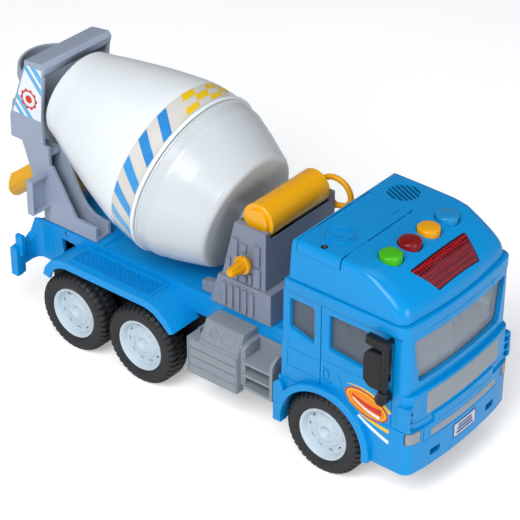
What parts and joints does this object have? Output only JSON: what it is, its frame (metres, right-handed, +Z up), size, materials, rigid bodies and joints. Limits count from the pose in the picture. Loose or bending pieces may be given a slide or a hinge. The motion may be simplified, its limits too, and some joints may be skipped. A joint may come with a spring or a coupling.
{
  "type": "toy cement mixer",
  "caption": "Toy cement mixer: blue cab and chassis on free-rolling wheels, white tilted drum turned by a side knob, grey tower and rear frame, swivelling yellow chute.",
  "frame": {"origin": "on the ground under the middle of the bounding box", "axes": "+X toward the cab front, +Y toward the toy's left side, +Z up"},
  "size_m": [0.3228, 0.1064, 0.1654],
  "materials": {
    "blue": "gloss, moulded",
    "grey": "satin, moulded",
    "locker_grey": "satin, moulded",
    "hopper_grey": "satin, moulded",
    "yellow": "gloss, moulded",
    "hose_yellow": "gloss, moulded",
    "drum_white": "gloss, slightly translucent",
    "rim_white": "gloss, moulded",
    "tyre_black": "matt, moulded",
    "black": "satin, moulded",
    "steel": "plated",
    "clear": "clear sheet",
    "interior": "satin, moulded",
    "lens_red": "clear tinted",
    "lamp_clear": "clear",
    "key_green": "gloss",
    "key_red": "gloss",
    "key_amber": "gloss",
    "key_blue": "gloss",
    "silicone": "matt, moulded",
    "board_green": "solder mask",
    "cell_sleeve": "printed sleeve",
    "gear_natural": "satin, moulded"
  },
  "bodies": {
    "chassis": {"cab_interior": "interior", "cab_roof": "blue", "cab_shell": "blue", "cell_cover": "blue", "cell_cover_screw": "steel", "cell_tray": "black", "chassis_deck": "blue", "circuit_board": "board_green", "deck_screw_L": "steel", "deck_screw_R": "steel", "dry_cell_1": "cell_sleeve", "dry_cell_2": "cell_sleeve", "friction_drive_stand": "black", "hopper": "hopper_grey", "key_dome_amber": "silicone", "key_dome_blue": "silicone", "key_dome_green": "silicone", "key_dome_red": "silicone", "lens_lamp": "lamp_clear", "mirror_L": "black", "mirror_R": "black", "rear_frame": "grey", "roof_lens": "lens_red", "side_glazing_L": "clear", "side_glazing_R": "clear", "side_locker_L": "locker_grey", "side_locker_R": "locker_grey", "speaker": "black", "tank": "yellow", "tank_hose": "hose_yellow", "tower": "grey", "underframe": "black", "windscreen": "clear"},
    "drum": {"drum_rear_shell": "drum_white", "drum_front_shell": "drum_white", "drum_crown_gear": "gear_natural"},
    "knob": {"winding_knob": "yellow", "knob_pinion": "gear_natural"},
    "chute": {"chute": "yellow"},
    "rear_wheels": {"rear_axle_rod": "steel", "rear_tyre_R": "tyre_black", "rear_tyre_L": "tyre_black", "rear_rim_R": "rim_white", "rear_rim_L": "rim_white"},
    "mid_wheels": {"mid_axle_rod": "steel", "mid_tyre_R": "tyre_black", "mid_tyre_L": "tyre_black", "mid_rim_R": "rim_white", "mid_rim_L": "rim_white", "mid_axle_gear": "gear_natural"},
    "front_wheels": {"front_axle_rod": "steel", "front_tyre_R": "tyre_black", "front_tyre_L": "tyre_black", "front_rim_R": "rim_white", "front_rim_L": "rim_white"},
    "flywheel_body": {"flywheel": "steel"},
    "key_green": {"button_green": "key_green"},
    "key_red": {"button_red": "key_red"},
    "key_amber": {"button_amber": "key_amber"},
    "key_blue": {"button_blue": "key_blue"}
  },
  "joints": [
    {"name": "drum_spin", "type": "hinge", "parent": "chassis", "child": "drum", "pos_m": [-0.02271, 0, 0.11354], "axis": [-0.9675, 0, 0.2529], "continuous": true},
    {"name": "knob_turn", "type": "hinge", "parent": "chassis", "child": "knob", "pos_m": [0.03927, 0, 0.09734], "axis": [0, 1, 0], "continuous": true},
    {"name": "chute_swivel", "type": "hinge", "parent": "chassis", "child": "chute", "pos_m": [-0.11473, 0, 0.066], "axis": [0, 0, 1], "range_deg": [-25, 25]},
    {"name": "rear_wheels_roll", "type": "hinge", "parent": "chassis", "child": "rear_wheels", "pos_m": [-0.07513, 0, 0.0242], "axis": [0, 1, 0], "continuous": true},
    {"name": "mid_wheels_roll", "type": "hinge", "parent": "chassis", "child": "mid_wheels", "pos_m": [-0.02442, 0, 0.0242], "axis": [0, 1, 0], "continuous": true},
    {"name": "front_wheels_roll", "type": "hinge", "parent": "chassis", "child": "front_wheels", "pos_m": [0.10395, 0, 0.0242], "axis": [0, 1, 0], "continuous": true},
    {"name": "flywheel_spin", "type": "hinge", "parent": "chassis", "child": "flywheel_body", "pos_m": [-0.01386, 0, 0.0275], "axis": [0, 1, 0], "continuous": true},
    {"name": "key_green_press", "type": "slide", "parent": "chassis", "child": "key_green", "axis": [0, 0, -1], "range_m": [0, 0.0016], "stiffness_N_per_m": 400, "deforming": ["key_dome_green"]},
    {"name": "key_red_press", "type": "slide", "parent": "chassis", "child": "key_red", "axis": [0, 0, -1], "range_m": [0, 0.0016], "stiffness_N_per_m": 400, "deforming": ["key_dome_red"]},
    {"name": "key_amber_press", "type": "slide", "parent": "chassis", "child": "key_amber", "axis": [0, 0, -1], "range_m": [0, 0.0016], "stiffness_N_per_m": 400, "deforming": ["key_dome_amber"]},
    {"name": "key_blue_press", "type": "slide", "parent": "chassis", "child": "key_blue", "axis": [0, 0, -1], "range_m": [0, 0.0016], "stiffness_N_per_m": 400, "deforming": ["key_dome_blue"]}
  ],
  "couplings": [
    {"joint": "knob_turn", "follows": "drum_spin", "ratio": 1.75},
    {"joint": "flywheel_spin", "follows": "mid_wheels_roll", "ratio": -1.8}
  ]
}
